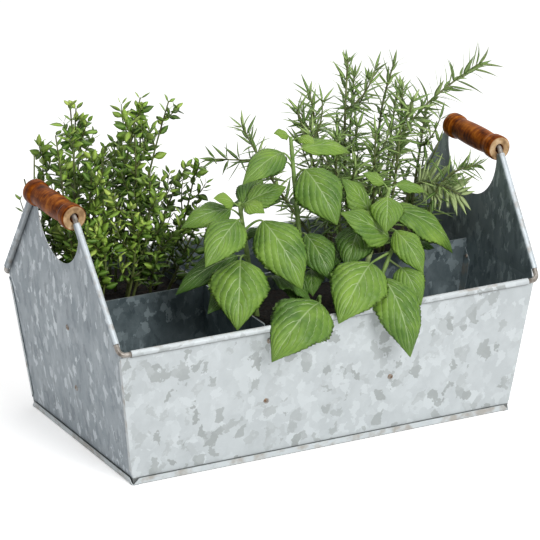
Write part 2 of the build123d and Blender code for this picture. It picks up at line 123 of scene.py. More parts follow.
def galvanised_sheet(name, axis, crystal_size, stretch, cover, outside, inside, shade_top):
    """Hot-dip galvanised sheet: dull zinc with ragged pale crystals and slanting darker shards.

    Pale crystals take up the share cover. outside and inside are each a base, a pale and a dark colour.
    Faces turned to the middle along the axis have the inside's colours: painted shade of the inside.
    Beads and edges are painted pale, a painted highlight, between brownish smears of handling, and
    painted shade darkens the undersides of the beads, and the foot up to a height in millimetres."""
    made, tree = material(name)
    place = add(tree, "ShaderNodeTexCoord").outputs["Object"]
    normal = add(tree, "ShaderNodeNewGeometry").outputs["Normal"]
    facing = add(tree, "ShaderNodeSeparateXYZ", i0=normal).outputs
    where = add(tree, "ShaderNodeSeparateXYZ", i0=place).outputs
    sign = add(tree, "ShaderNodeMath", {"operation": "SIGN"}, i0=where[axis]).outputs[0]
    outward = add(tree, "ShaderNodeMath", {"operation": "MULTIPLY"}, i0=sign, i1=facing[axis]).outputs[0]
    # Faces turned inwards get the darker inside colours: painted shade of the inside
    inside_shade = add(tree, "ShaderNodeMapRange", Value=outward, From_Min=-0.5, From_Max=-0.85).outputs[0]
    mapped = add(tree, "ShaderNodeMapping", Vector=place, Scale=stretch).outputs[0]
    # Crystal edges wander by about half a crystal either way
    size = crystal_size * MM
    sway = 1.7 * size
    wander = add(tree, "ShaderNodeTexNoise", Vector=mapped, Scale=1 / size, Detail=5.0,
                 Roughness=0.6).outputs["Color"]
    bent = add(tree, "ShaderNodeVectorMath", {"operation": "MULTIPLY_ADD"}, i0=wander,
               i1=(sway, sway, sway), i2=mapped).outputs[0]
    crystal = add(tree, "ShaderNodeTexVoronoi", {"distance": "MANHATTAN"}, Vector=bent,
                  Scale=1 / size).outputs["Color"]
    pick = add(tree, "ShaderNodeSeparateColor", Color=crystal).outputs
    # Shards are smaller than crystals and lean two ways in the plane of the sheet, and on upright sheets
    # they are longer than wide
    shards = []
    for lean in (0.6, -0.5):
        slanted = add(tree, "ShaderNodeMapping", {"vector_type": "TEXTURE"}, Vector=bent,
                      Rotation=[lean * (k == axis) for k in range(3)], Scale=(1, 1, 1.6)).outputs[0]
        shard = add(tree, "ShaderNodeTexVoronoi", Vector=slanted, Scale=1.3 / size).outputs["Color"]
        shard_pick = add(tree, "ShaderNodeSeparateColor", Color=shard).outputs[0]
        shards.append(add(tree, "ShaderNodeMapRange", Value=shard_pick, From_Min=0.86, From_Max=1.0,
                          To_Max=0.85).outputs[0])
    dark = add(tree, "ShaderNodeMath", {"operation": "MAXIMUM"}, i0=shards[0], i1=shards[1]).outputs[0]
    haze = add(tree, "ShaderNodeTexNoise", Vector=mapped, Scale=1 / (24 * MM), Detail=7.0,
               Roughness=0.66).outputs[0]
    cloud = add(tree, "ShaderNodeMapRange", Value=haze, From_Min=0.4, From_Max=0.68,
                To_Max=1.5 * cover).outputs[0]
    pale = add(tree, "ShaderNodeMapRange", Value=pick[0], From_Min=1 - cover, From_Max=0.95,
               To_Max=0.9).outputs[0]
    tones = []
    for base, light, deep in (outside, inside):
        cloudy = add(tree, "ShaderNodeMix", {"data_type": "RGBA"}, i0=cloud, i6=colour(base),
                     i7=colour(light)).outputs[2]
        lit = add(tree, "ShaderNodeMix", {"data_type": "RGBA"}, i0=pale, i6=cloudy,
                  i7=colour(light)).outputs[2]
        tones.append(add(tree, "ShaderNodeMix", {"data_type": "RGBA"}, i0=dark, i6=lit,
                         i7=colour(deep)).outputs[2])
    flat = add(tree, "ShaderNodeMix", {"data_type": "RGBA"}, i0=inside_shade, i6=tones[0],
               i7=tones[1]).outputs[2]
    level = add(tree, "ShaderNodeMath", {"operation": "ABSOLUTE"}, i0=outward).outputs[0]
    # Beads and edges, which face across the axis, are painted pale: a painted highlight where they catch
    # light, broken by brownish smears of handling
    edge = add(tree, "ShaderNodeMapRange", Value=level, From_Min=0.9, From_Max=0.7,
               To_Max=0.8).outputs[0]
    smear = add(tree, "ShaderNodeTexNoise", Vector=place, Scale=1 / (11 * MM), Detail=6.0).outputs[0]
    edge_highlight_stops = [(0.34, "#ABA59D"), (0.5, outside[1])]
    highlight_and_smears = add(tree, "ShaderNodeValToRGB", {"stops": edge_highlight_stops}, Fac=smear).outputs[0]
    edge_highlighted = add(tree, "ShaderNodeMix", {"data_type": "RGBA"}, i0=edge, i6=flat, i7=highlight_and_smears).outputs[2]
    # Painted shade, in dark grey: the foot up to its given height, and faces turned downwards under the
    # beads
    foot = add(tree, "ShaderNodeMapRange", Value=where[2], From_Min=shade_top * MM,
               From_Max=(shade_top + 0.8) * MM, To_Min=0.8, To_Max=0.0).outputs[0]
    under = add(tree, "ShaderNodeMapRange", Value=facing[2], From_Min=-0.25, From_Max=-0.8,
                To_Max=0.75).outputs[0]
    painted_shade = add(tree, "ShaderNodeMath", {"operation": "MAXIMUM"}, i0=foot, i1=under).outputs[0]
    tone = add(tree, "ShaderNodeMix", {"data_type": "RGBA"}, i0=painted_shade, i6=edge_highlighted,
               i7=colour("#484A46")).outputs[2]
    rough = add(tree, "ShaderNodeMapRange", Value=pick[2], To_Min=0.4, To_Max=0.62).outputs[0]
    grit = add(tree, "ShaderNodeTexNoise", Vector=place, Scale=1 / (1.5 * MM), Detail=2.0).outputs[0]
    bump = add(tree, "ShaderNodeBump", Height=grit, Strength=0.05, Distance=0.2 * MM).outputs[0]
    skin = add(tree, "ShaderNodeBsdfPrincipled", Base_Color=tone, Metallic=0.3, Roughness=rough,
               Normal=bump).outputs[0]
    add(tree, "ShaderNodeOutputMaterial", Surface=skin)
    return made


def drawn_wire():
    """Bare drawn steel wire, browned where it has been handled, with dull grey left between."""
    made, tree = material("drawn_steel_wire")
    place = add(tree, "ShaderNodeTexCoord").outputs["Object"]
    spots = add(tree, "ShaderNodeTexNoise", Vector=place, Scale=1 / (6 * MM), Detail=5.0).outputs[0]
    steel = [(0.3, "#5A524A"), (0.5, "#8F8982"), (0.72, "#BCB8B3")]
    tone = add(tree, "ShaderNodeValToRGB", {"stops": steel}, Fac=spots).outputs[0]
    skin = add(tree, "ShaderNodeBsdfPrincipled", Base_Color=tone, Metallic=0.6,
               Roughness=0.45).outputs[0]
    add(tree, "ShaderNodeOutputMaterial", Surface=skin)
    return made


def dulled_rivet():
    """Steel blind rivet, dulled to grey, with spots of brown rust."""
    made, tree = material("dulled_rivet_steel")
    place = add(tree, "ShaderNodeTexCoord").outputs["Object"]
    spots = add(tree, "ShaderNodeTexNoise", Vector=place, Scale=1 / (2.5 * MM), Detail=4.0).outputs[0]
    steel = [(0.33, "#6F5138"), (0.45, "#86796C"), (0.65, "#A6A6A3")]
    tone = add(tree, "ShaderNodeValToRGB", {"stops": steel}, Fac=spots).outputs[0]
    skin = add(tree, "ShaderNodeBsdfPrincipled", Base_Color=tone, Metallic=0.5,
               Roughness=0.5).outputs[0]
    add(tree, "ShaderNodeOutputMaterial", Surface=skin)
    return made


def stained_wood():
    """Turned hardwood under reddish brown stain and lacquer: chisel rings, mottling and faint grain.

    The cut ends are bare wood, paler and rougher."""
    made, tree = material("stained_turned_hardwood")
    place = add(tree, "ShaderNodeTexCoord").outputs["Object"]
    # Chisel rings are about 2 mm apart along the grip; fibres are 2 mm wide and 25 mm long
    ring_scale = (1 / (45 * MM), 1 / (2.2 * MM), 1 / (45 * MM))
    ring_place = add(tree, "ShaderNodeMapping", Vector=place, Scale=ring_scale).outputs[0]
    rings = add(tree, "ShaderNodeTexNoise", Vector=ring_place, Scale=1.0, Detail=3.0).outputs[0]
    fibre_scale = (1 / (2 * MM), 1 / (25 * MM), 1 / (2 * MM))
    fibre_place = add(tree, "ShaderNodeMapping", Vector=place, Scale=fibre_scale).outputs[0]
    fibre = add(tree, "ShaderNodeTexNoise", Vector=fibre_place, Scale=1.0, Detail=4.0).outputs[0]
    cloud = add(tree, "ShaderNodeTexNoise", Vector=place, Scale=1 / (9 * MM), Detail=4.0).outputs[0]
    part = add(tree, "ShaderNodeMix", i0=0.25, i2=rings, i3=fibre).outputs[0]
    grain = add(tree, "ShaderNodeMix", i0=0.55, i2=part, i3=cloud).outputs[0]
    stain = [(0.38, "#3F1602"), (0.5, "#82400B"), (0.62, "#B66B22")]
    side = add(tree, "ShaderNodeValToRGB", {"stops": stain}, Fac=grain).outputs[0]
    end = add(tree, "ShaderNodeAttribute", {"attribute_name": "end_grain"}).outputs["Fac"]
    bare = [(0.35, "#8A6D4E"), (0.5, "#BD9C74"), (0.65, "#D8BE9C")]
    ends = add(tree, "ShaderNodeValToRGB", {"stops": bare}, Fac=cloud).outputs[0]
    tone = add(tree, "ShaderNodeMix", {"data_type": "RGBA"}, i0=end, i6=side, i7=ends).outputs[2]
    rough = add(tree, "ShaderNodeMapRange", Value=end, To_Min=0.38, To_Max=0.8).outputs[0]
    bump = add(tree, "ShaderNodeBump", Height=part, Strength=0.25, Distance=0.3 * MM).outputs[0]
    skin = add(tree, "ShaderNodeBsdfPrincipled", Base_Color=tone, Roughness=rough, Normal=bump,
               Specular_IOR_Level=0.05).outputs[0]
    add(tree, "ShaderNodeOutputMaterial", Surface=skin)
    return made


def potting_mix():
    """Moist bark-based potting mix: nearly black crumbs with paler brown bits of bark."""
    made, tree = material("bark_potting_mix")
    place = add(tree, "ShaderNodeTexCoord").outputs["Object"]
    crumbs = add(tree, "ShaderNodeTexNoise", Vector=place, Scale=1 / (4 * MM), Detail=6.0).outputs[0]
    bark = [(0.35, "#080604"), (0.55, "#17100A"), (0.75, "#3B2819")]
    tone = add(tree, "ShaderNodeValToRGB", {"stops": bark}, Fac=crumbs).outputs[0]
    bump = add(tree, "ShaderNodeBump", Height=crumbs, Strength=0.8, Distance=1.5 * MM).outputs[0]
    skin = add(tree, "ShaderNodeBsdfPrincipled", Base_Color=tone, Roughness=0.9, Normal=bump).outputs[0]
    add(tree, "ShaderNodeOutputMaterial", Surface=skin)
    return made


def basil_skin():
    """Fresh basil leaf: satin skin puffed between sunken pale veins, greyer and paler underneath."""
    made, tree = material("fresh_basil_leaf")
    along, across, under, shade = (
        add(tree, "ShaderNodeAttribute", {"attribute_name": key}).outputs["Fac"]
        for key in ("along", "across", "underside", "tone"))
    place = add(tree, "ShaderNodeTexCoord").outputs["Object"]
    off_rib = add(tree, "ShaderNodeMath", {"operation": "ABSOLUTE"}, i0=across).outputs[0]
    # On a side vein along - sweep * off_rib^curve stays the same, so it curves forwards to the edge
    aside = add(tree, "ShaderNodeMath", {"operation": "POWER"}, i0=off_rib, i1=VEIN_CURVE).outputs[0]
    swept = add(tree, "ShaderNodeMath", {"operation": "MULTIPLY_ADD"}, i0=aside, i1=-VEIN_SWEEP,
                i2=along).outputs[0]
    streaks = add(tree, "ShaderNodeTexNoise", Vector=place, Scale=1 / (9 * MM), Detail=2.0).outputs[0]
    loose = add(tree, "ShaderNodeMath", {"operation": "MULTIPLY_ADD"}, i0=streaks, i1=0.06,
                i2=swept).outputs[0]
    beat = add(tree, "ShaderNodeMath", {"operation": "MULTIPLY"}, i0=loose, i1=VEINS * np.pi).outputs[0]
    wave = add(tree, "ShaderNodeMath", {"operation": "SINE"}, i0=beat).outputs[0]
    near = add(tree, "ShaderNodeMath", {"operation": "ABSOLUTE"}, i0=wave).outputs[0]
    line = add(tree, "ShaderNodeMapRange", {"interpolation_type": "SMOOTHSTEP"}, Value=near,
               From_Max=0.2, To_Min=1.0, To_Max=0.0).outputs[0]
    # Veins waver, show in streaks 5 to 10 mm long and fade towards the edge
    shown = add(tree, "ShaderNodeMapRange", Value=streaks, From_Min=0.32, From_Max=0.55).outputs[0]
    fade = add(tree, "ShaderNodeMapRange", Value=off_rib, From_Min=0.35, From_Max=0.95, To_Min=1.0,
               To_Max=0.1).outputs[0]
    patchy = add(tree, "ShaderNodeMath", {"operation": "MULTIPLY"}, i0=line, i1=shown).outputs[0]
    side_vein = add(tree, "ShaderNodeMath", {"operation": "MULTIPLY"}, i0=patchy, i1=fade).outputs[0]
    rib = add(tree, "ShaderNodeMapRange", {"interpolation_type": "SMOOTHSTEP"}, Value=off_rib,
              From_Min=0.005, From_Max=0.04, To_Min=0.55, To_Max=0.0).outputs[0]
    veins = add(tree, "ShaderNodeMath", {"operation": "MAXIMUM"}, i0=side_vein, i1=rib).outputs[0]
    mottle = add(tree, "ShaderNodeTexNoise", Vector=place, Scale=1 / (24 * MM), Detail=4.0).outputs[0]
    mixed = add(tree, "ShaderNodeMath", {"operation": "MULTIPLY_ADD"}, i0=mottle, i1=0.8,
                i2=shade).outputs[0]
    # Painted shade and light: the side of each puff towards the tip is painted paler, the other darker
    twice = add(tree, "ShaderNodeMath", {"operation": "MULTIPLY"}, i0=beat, i1=2.0).outputs[0]
    painted_puff_shade = add(tree, "ShaderNodeMath", {"operation": "SINE"}, i0=twice).outputs[0]
    puffed = add(tree, "ShaderNodeMath", {"operation": "MULTIPLY_ADD"}, i0=painted_puff_shade, i1=-0.035,
                 i2=mixed).outputs[0]
    level = add(tree, "ShaderNodeMapRange", Value=puffed, From_Min=0.4, From_Max=1.3).outputs[0]
    greens = [(0.05, "#243F10"), (0.4, "#4F732B"), (0.65, "#73953B"), (0.95, "#8DAE46")]
    green = add(tree, "ShaderNodeValToRGB", {"stops": greens}, Fac=level).outputs[0]
    veined = add(tree, "ShaderNodeMix", {"data_type": "RGBA"}, i0=veins, i6=green,
                 i7=colour("#B7CB98")).outputs[2]
    tone = add(tree, "ShaderNodeMix", {"data_type": "RGBA"}, i0=under, i6=veined,
               i7=colour("#7F9A57")).outputs[2]
    swell = add(tree, "ShaderNodeMath", {"operation": "POWER"}, i0=near, i1=0.5).outputs[0]
    relief = add(tree, "ShaderNodeMath", {"operation": "ADD"}, i0=swell, i1=mottle).outputs[0]
    bump = add(tree, "ShaderNodeBump", Height=relief, Strength=0.6, Distance=1.0 * MM).outputs[0]
    skin = add(tree, "ShaderNodeBsdfPrincipled", Base_Color=tone, Roughness=0.45, Normal=bump,
               Specular_IOR_Level=0.28).outputs[0]
    add(tree, "ShaderNodeOutputMaterial", Surface=skin)
    return made


def stem_bark(name, stops):
    """Green or woody stem whose colour wanders every 12 mm or so."""
    made, tree = material(name)
    place = add(tree, "ShaderNodeTexCoord").outputs["Object"]
    cloud = add(tree, "ShaderNodeTexNoise", Vector=place, Scale=1 / (12 * MM), Detail=3.0).outputs[0]
    tone = add(tree, "ShaderNodeValToRGB", {"stops": stops}, Fac=cloud).outputs[0]
    skin = add(tree, "ShaderNodeBsdfPrincipled", Base_Color=tone, Roughness=0.5).outputs[0]
    add(tree, "ShaderNodeOutputMaterial", Surface=skin)
    return made


def small_leaf_skin(name, stops, under_code, rib_code):
    """Small herb leaf: from dark old leaf to pale new growth, with a paler rib and underside."""
    made, tree = material(name)
    across, under, shade = (
        add(tree, "ShaderNodeAttribute", {"attribute_name": key}).outputs["Fac"]
        for key in ("across", "underside", "tone"))
    off_rib = add(tree, "ShaderNodeMath", {"operation": "ABSOLUTE"}, i0=across).outputs[0]
    rib = add(tree, "ShaderNodeMapRange", Value=off_rib, From_Max=0.35, To_Min=0.45,
              To_Max=0.0).outputs[0]
    green = add(tree, "ShaderNodeValToRGB", {"stops": stops}, Fac=shade).outputs[0]
    ribbed = add(tree, "ShaderNodeMix", {"data_type": "RGBA"}, i0=rib, i6=green,
                 i7=colour(rib_code)).outputs[2]
    half = add(tree, "ShaderNodeMath", {"operation": "MULTIPLY"}, i0=under, i1=0.6).outputs[0]
    tone = add(tree, "ShaderNodeMix", {"data_type": "RGBA"}, i0=half, i6=ribbed,
               i7=colour(under_code)).outputs[2]
    skin = add(tree, "ShaderNodeBsdfPrincipled", Base_Color=tone, Roughness=0.45,
               Specular_IOR_Level=0.3).outputs[0]
    add(tree, "ShaderNodeOutputMaterial", Surface=skin)
    return made


def shell(name, stations, finish, marks=None, joined=False):
    """Closed shells from points in millimetres, an array of pieces by stations by points round.

    Neighbouring stations are joined by quads all round. The end loops are capped, or with joined the
    last station meets the first. marks are attributes by name, one value per point."""
    count, rows, ring, _ = stations.shape
    index = np.arange(count * rows * ring).reshape(count, rows, ring)
    here = index if joined else index[:, :-1]
    ahead = np.roll(index, -1, 1) if joined else index[:, 1:]
    quads = np.stack([here, np.roll(here, -1, 2), np.roll(ahead, -1, 2), ahead], -1).reshape(-1, 4)
    faces = [quads] if joined else [quads, index[:, 0, ::-1], index[:, -1]]
    corner = (stations - stations.mean((1, 2), keepdims=True)).reshape(-1, 3)[quads]
    halves = np.cross(corner[:, 1], corner[:, 2]) + np.cross(corner[:, 2], corner[:, 3])
    volume = np.sum(corner[:, 0] * halves)
    order = slice(None, None, -1 if volume < 0 else 1)
    mesh = bpy.data.meshes.new(name)
    mesh.from_pydata((stations.reshape(-1, 3) * MM).tolist(), [],
                     [face for group in faces for face in group[:, order].tolist()])
    mesh.polygons.foreach_set("use_smooth", np.ones(len(mesh.polygons), bool))
    for key, values in (marks or {}).items():
        spread = np.broadcast_to(values, stations.shape[:3]).astype(np.float32).ravel()
        mesh.attributes.new(key, "FLOAT", "POINT").data.foreach_set("value", spread)
    mesh.materials.append(finish)
    made = bpy.data.objects.new(name, mesh)
    bpy.context.scene.collection.objects.link(made)
    return made


def unit(v):
    """Vectors scaled to length one."""
    return v / np.maximum(np.linalg.norm(v, axis=-1, keepdims=True), 1e-9)


def tubes(paths, radii, ring):
    """Round tubes: at each station of a path a circle of its radius stands square to the path."""
    ahead = unit(np.gradient(paths, axis=1))
    side = unit(np.cross(ahead, np.array([0.35, 0.92, 0.17])))
    up = np.cross(side, ahead)
    turn = np.linspace(0, 2 * np.pi, ring, endpoint=False)[:, None]
    circle = side[:, :, None] * np.cos(turn) + up[:, :, None] * np.sin(turn)
    return paths[:, :, None] + circle * radii[..., None, None]


def taper(paths, foot, tip):
    """Radii that fall evenly along each path from its foot to its tip."""
    return np.broadcast_to(np.linspace(foot, tip, paths.shape[1]), paths.shape[:2])


def leaf_loop(half):
    """Points round a leaf's section: from -1 to 1 on top and back underneath, and which are under."""
    top = np.linspace(-1, 1, 2 * half + 1)
    across = np.concatenate([top, top[-2:0:-1]])
    return across, np.repeat([0.0, 1.0], [top.size, top.size - 2])


def small_leaves(base, lead, top, length, width, curl, rows, widest):
    """Many small leaves, each a closed lens.

    At s along the midrib the half width is W/2 sin(pi s^widest) and the drop is curl L s^2. The rib
    stands out by a tenth of the half width above and below."""
    s = np.linspace(0.02, 0.985, rows)[:, None]
    across, lower = leaf_loop(1)
    half = 0.5 * np.sin(np.pi * s ** widest)
    bulge = 0.1
    thick = np.where(np.abs(across) > 0.5, 0.0, np.where(lower > 0.5, -bulge, bulge))
    length, width, curl = (v[:, None, None] for v in (length, width, curl))
    run = s * length * np.ones(across.size)
    out = half * across * width
    lift = half * thick * width - curl * s ** 2 * length
    side = np.cross(top, lead)
    moves = ((lead, run), (side, out), (top, lift))
    points = base[:, None, None] + sum(v[:, None, None] * w[..., None] for v, w in moves)
    return points, {"across": across, "underside": lower}


# Herb tables: places from the middle of each bay, heights above the soil

# Each twig: x and y of its foot, and x, y and height of its tip
THYME_TWIGS = [
    (-38, 2, -38, -5, 176), (-48, -10, -56, -14, 154), (-50, 12, -66, 8, 132), (-22, 16, -22, 18, 164),
    (-20, -8, -12, -10, 126), (8, 8, 32, 4, 170), (26, 6, 58, 2, 164), (8, -14, 16, -16, 158),
    (24, 28, 44, 28, 148), (40, -4, 76, -12, 104), (42, -22, 74, -28, 70), (40, 22, 80, 14, 98),
    (22, -32, 36, -47, 62), (-4, -36, -4, -50, 92), (-28, -34, -34, -50, 84), (4, -30, 20, -38, 116),
    (-38, 34, -42, 40, 126), (-8, 36, -4, 46, 136), (20, 44, 30, 52, 118), (-56, 30, -66, 30, 104),
    (0, 16, 4, 16, 126), (-28, -22, -30, -30, 124), (-54, -30, -60, -40, 92), (-46, 14, -52, 20, 80),
    (-44, -14, -52, -22, 66),
]

# Low thyme twigs of new growth, by their places in the table
NEW_THYME = (13, 14, 23, 24)

ROSEMARY_TWIGS = [
    (-2, -20, 88, -36, 168), (6, -6, 18, -8, 170), (-22, -6, -26, -4, 178), (-8, -34, 8, -42, 158),
    (-38, 6, -72, 4, 138), (-44, -10, -132, -8, 134), (26, -44, 56, -92, 96), (18, -28, 46, -80, 66),
    (-28, 18, -48, 24, 143), (-2, 22, 2, 34, 150), (24, 16, 44, 30, 132), (-40, -28, -60, -46, 123),
    (36, -6, 59, 4, 118), (-20, -42, -30, -62, 128),
]

# Rosemary twigs by their places in the table: the one that arches over the grip, a bowed upright one,
# the one that forks, the one out at the front corner, the flat spray, and all those with side shoots
OVER_GRIP = 0
UPRIGHT = 1
FORKED = 5
CORNER = 6
SPRAY = 7
BUSHY = np.array([2, 3, 4, 8, 9, 11, 12, 13])

# Each arch: twig, how far it moves in x, y and z, and the power that brings its top nearer to the tip
ROSEMARY_ARCHES = [
    (OVER_GRIP, (-34, 0, 6), 1.5),
    (UPRIGHT, (-14, 0, 0), 1.5),
    (CORNER, (-8, 0, 20), 1.2),
    (SPRAY, (-8, 9, 34), 1.0),
]

BASIL_STEMS = {
    "left": ((-40, 3), (-57, 3, 102)),
    "centre": ((12, 13), (-2, 15, 148)),
    "right": ((48, -9), (84, -5, 96)),
    "front": ((-4, -24), (-1, -37, 22)),
    "side": ((48, -31), (76, -25, 49)),
}

# Each leaf: stem, height of its joint, base and tip of the blade, bend of the midrib and tilt of the
# blade in degrees, width, and its tone from old dark green to new yellow green
BASIL_LEAVES = [
    ("centre", 145, (-6, 12, 151), (-22, 8, 156), 50, 40, 12, 0.75),
    ("centre", 144, (2, 8, 149), (9, -8, 147), 60, -20, 13, 0.78),
    ("centre", 128, (9, 16, 136), (62, 25, 121), 60, -30, 22, 0.62),
    ("centre", 124, (-12, 10, 137), (-60, -8, 121), 70, 30, 28, 0.50),
    ("centre", 114, (-2, 22, 124), (-12, 46, 106), 60, 30, 26, 0.25),
    ("centre", 108, (8, 8, 120), (20, -28, 79), 80, -30, 44, 0.45),
    ("centre", 84, (-8, 21, 90), (-48, 44, 82), 70, 0, 30, 0.25),
    ("centre", 78, (13, 22, 82), (46, 55, 69), 70, 0, 32, 0.25),
    ("centre", 60, (6, 2, 64), (14, -30, 31), 70, -25, 34, 0.36),
    ("centre", 27, (9, -3, 33), (-3, -28, 19), 60, -10, 22, 0.40),
    ("centre", 34, (-6, 3, 36), (-22, -33, 14), 60, 20, 32, 0.30),
    ("left", 98, (-63, 2, 103), (-85, -4, 112), 45, 45, 16, 0.68),
    ("left", 99, (-55, -4, 103), (-46, -22, 98), 60, -25, 18, 0.72),
    ("left", 91, (-48, 5, 101), (-12, 3, 109), 40, -40, 24, 0.52),
    ("left", 89, (-50, 10, 97), (-22, 28, 110), 50, -20, 26, 0.35),
    ("left", 88, (-62, 9, 95), (-106, 15, 83), 60, 30, 28, 0.48),
    ("left", 80, (-64, -8, 91), (-108, -34, 64), 60, 25, 36, 0.56),
    ("left", 76, (-40, -7, 86), (-23, -46, 34), 75, -30, 46, 0.50),
    ("left", 52, (-67, -18, 59), (-89, -55, 12), 75, 5, 52, 0.52),
    ("left", 45, (-60, 0, 56), (-116, 6, 28), 60, 30, 28, 0.22),
    ("left", 32, (-57, -8, 36), (-104, -30, 21), 45, 15, 30, 0.24),
    ("left", 28, (-33, -9, 36), (-8, -36, 16), 60, 15, 34, 0.28),
    ("left", 66, (-46, 12, 68), (-26, 48, 49), 72, 0, 34, 0.22),
    ("right", 93, (79, -3, 100), (61, 3, 110), 45, 40, 14, 0.68),
    ("right", 92, (90, -5, 97), (120, -4, 86), 55, -35, 15, 0.60),
    ("right", 84, (77, -13, 91), (65, -32, 66), 75, 5, 30, 0.58),
    ("right", 62, (70, 4, 72), (44, 9, 106), 35, 45, 34, 0.46),
    ("right", 46, (76, -19, 56), (28, -18, 86), 35, 50, 35, 0.50),
    ("right", 70, (87, -2, 76), (146, -8, 27), 70, -40, 34, 0.54),
    ("right", 46, (86, 0, 44), (140, 12, 26), 50, -20, 26, 0.20),
    ("right", 62, (80, -22, 63), (92, -50, 30), 70, -25, 28, 0.54),
    ("right", 56, (59, 3, 62), (36, -16, 34), 60, 15, 36, 0.30),
    ("right", 40, (53, 0, 42), (22, 6, 28), 60, 0, 26, 0.20),
    ("side", 46, (50, -34, 42), (-3, -73, 9), 70, 20, 52, 0.55),
    ("side", 26, (57, -42, 30), (60, -85, -28), 105, -15, 42, 0.50),
    ("side", 40, (78, -36, 34), (76, -74, 12), 80, -15, 28, 0.50),
    ("front", 20, (-7, -47, 20), (-70, -80, -11), 85, 25, 54, 0.48),
]


def in_basil_bay(*place):
    """Point given from the middle of the basil's bay and the top of its soil."""
    return np.array(place, float) + np.array([0, -BAY_Y, SOIL_LEVEL])


def basil_blade(base, tip, bend, tilt, width, phase):
    """Blade, its marks and the direction in which the midrib starts.

    The midrib is an arc over the chord from base to tip. The half width W/2 sin(pi s^0.72)^0.9 is drawn
    in towards the tip and toothed. Across it the halves rise from the rib, arch down to a wavy edge, and
    puff up between the veins."""
    chord = tip - base
    span = np.linalg.norm(chord)
    ahead = chord / span
    level = unit(np.cross([0, 0, 1.0], ahead))
    above = np.cross(ahead, level)
    turn = np.radians(tilt)
    normal = above * np.cos(turn) + level * np.sin(turn)
    side = level * np.cos(turn) - above * np.sin(turn)
    s = np.linspace(0.004, 0.997, 73)[:, None]
    t, lower = leaf_loop(9)
    half_bend = np.radians(bend) / 2
    radius = span / (2 * np.sin(half_bend))
    angle = half_bend * (2 * s - 1)
    along = (span / 2 + radius * np.sin(angle))[..., None]
    lift = (radius * (np.cos(angle) - np.cos(half_bend)))[..., None]
    out = normal * np.cos(angle)[..., None] + ahead * np.sin(angle)[..., None]
    half = 0.5 * width * np.sin(np.pi * s ** 0.72) ** 0.9 * (1 - 0.2 * s ** 4)
    tooth = (s * TEETH + 0.15 * np.sin(40 * s)) % 1.0
    half = half * (1.03 - 0.07 * tooth * np.minimum(1, 6 * s))
    puff = np.abs(np.sin(np.pi * VEINS * (s - VEIN_SWEEP * np.abs(t) ** VEIN_CURVE))) ** 0.7
    rise = 0.18 * np.abs(t) - 0.46 * t ** 2
    rise = rise + 0.1 * puff * (1 - t ** 4) * np.minimum(1, 4 * np.abs(t))
    rise = rise + 0.1 * t ** 2 * np.sin(2 * np.pi * (2.3 * s + phase) + np.sign(t))
    thick = np.where(lower > 0.5, -0.4, 0.0) * np.sqrt(np.maximum(0, 1 - t ** 2))
    blade = base + ahead * along + normal * lift
    blade = blade + side * (half * t)[..., None] + out * (half * rise + thick)[..., None]
    start = ahead * np.cos(half_bend) + normal * np.sin(half_bend)
    return blade, {"along": s + 0 * t, "across": t + 0 * s, "underside": lower + 0 * s}, start


def basil():
    """Basil: blades, petioles and stems with swollen joints.

    A petiole is a quadratic curve from the stem to a seat just inside its blade, where it runs on into
    the midrib. Wider blades have thicker ones."""
    rng = np.random.default_rng(11)
    blades, marks, stalks, girths = [], [], [], []
    u = np.linspace(0, 1, 11)[:, None]
    for name, height, base, tip, bend, tilt, width, tone in BASIL_LEAVES:
        base = in_basil_bay(*base)
        blade, mark, start = basil_blade(base, in_basil_bay(*tip), bend, tilt, width, rng.uniform(0, 1))
        mark["tone"] = np.full(blade.shape[:2], tone)
        foot, top = in_basil_bay(*BASIL_STEMS[name][0], 0), in_basil_bay(*BASIL_STEMS[name][1])
        joint = foot + (top - foot) * height / (top[2] - foot[2])
        seat = base + start * 1.5
        bow = seat - start * 0.45 * np.linalg.norm(seat - joint)
        stalks.append(joint * (1 - u) ** 2 + bow * 2 * u * (1 - u) + seat * u ** 2)
        girths.append(0.6 + 0.011 * width)
        blades.append(blade)
        marks.append(mark)
    joined = {key: np.stack([mark[key] for mark in marks]) for key in marks[0]}
    leaves = shell("basil_leaf_blades", np.stack(blades), basil_skin(), joined)
    green = stem_bark("fresh_basil_stem", [(0.3, "#5E7D34"), (0.5, "#86A355"), (0.7, "#A9BC7A")])
    stalk_radii = np.array(girths)[:, None] * np.linspace(1.15, 0.7, len(u))
    stalk_tubes = tubes(np.stack(stalks), stalk_radii, 8)
    petioles = shell("basil_petioles", stalk_tubes, green)
    v = np.linspace(0, 1, 41)
    low = np.stack([in_basil_bay(*foot, -STEM_DEPTH) for foot, _ in BASIL_STEMS.values()])
    high = np.stack([in_basil_bay(*top) for _, top in BASIL_STEMS.values()])
    paths = low[:, None] + (high - low)[:, None] * v[:, None]
    joints = 1 + 0.14 * np.abs(np.sin(np.pi * v * STEM_JOINTS)) ** 12
    radii = np.broadcast_to((2.6 - v) * joints, paths.shape[:2])
    stems = shell("basil_main_stems", tubes(paths, radii, 12), green)
    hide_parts("basil_leaves")
    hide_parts("basil_stems")
    return [leaves, petioles, stems]


def twig_paths(table, bay_x, stations, bow, rng):
    """Twigs from foot to tip, bowed by bow sin(pi u) in a level direction of each one's own."""
    table = np.array(table, float)
    turn = rng.uniform(0, 2 * np.pi, len(table))
    level = np.column_stack([np.cos(turn), np.sin(turn), 0 * turn]) * bow
    depth = np.full(len(table), SOIL_LEVEL - TWIG_DEPTH)
    foot = np.column_stack([bay_x + table[:, 0], BAY_Y + table[:, 1], depth])
    tip = np.column_stack([bay_x + table[:, 2], BAY_Y + table[:, 3], SOIL_LEVEL + table[:, 4]])
    u = np.linspace(0, 1, stations)[None, :, None]
    return foot[:, None] + (tip - foot)[:, None] * u + level[:, None] * np.sin(np.pi * u)


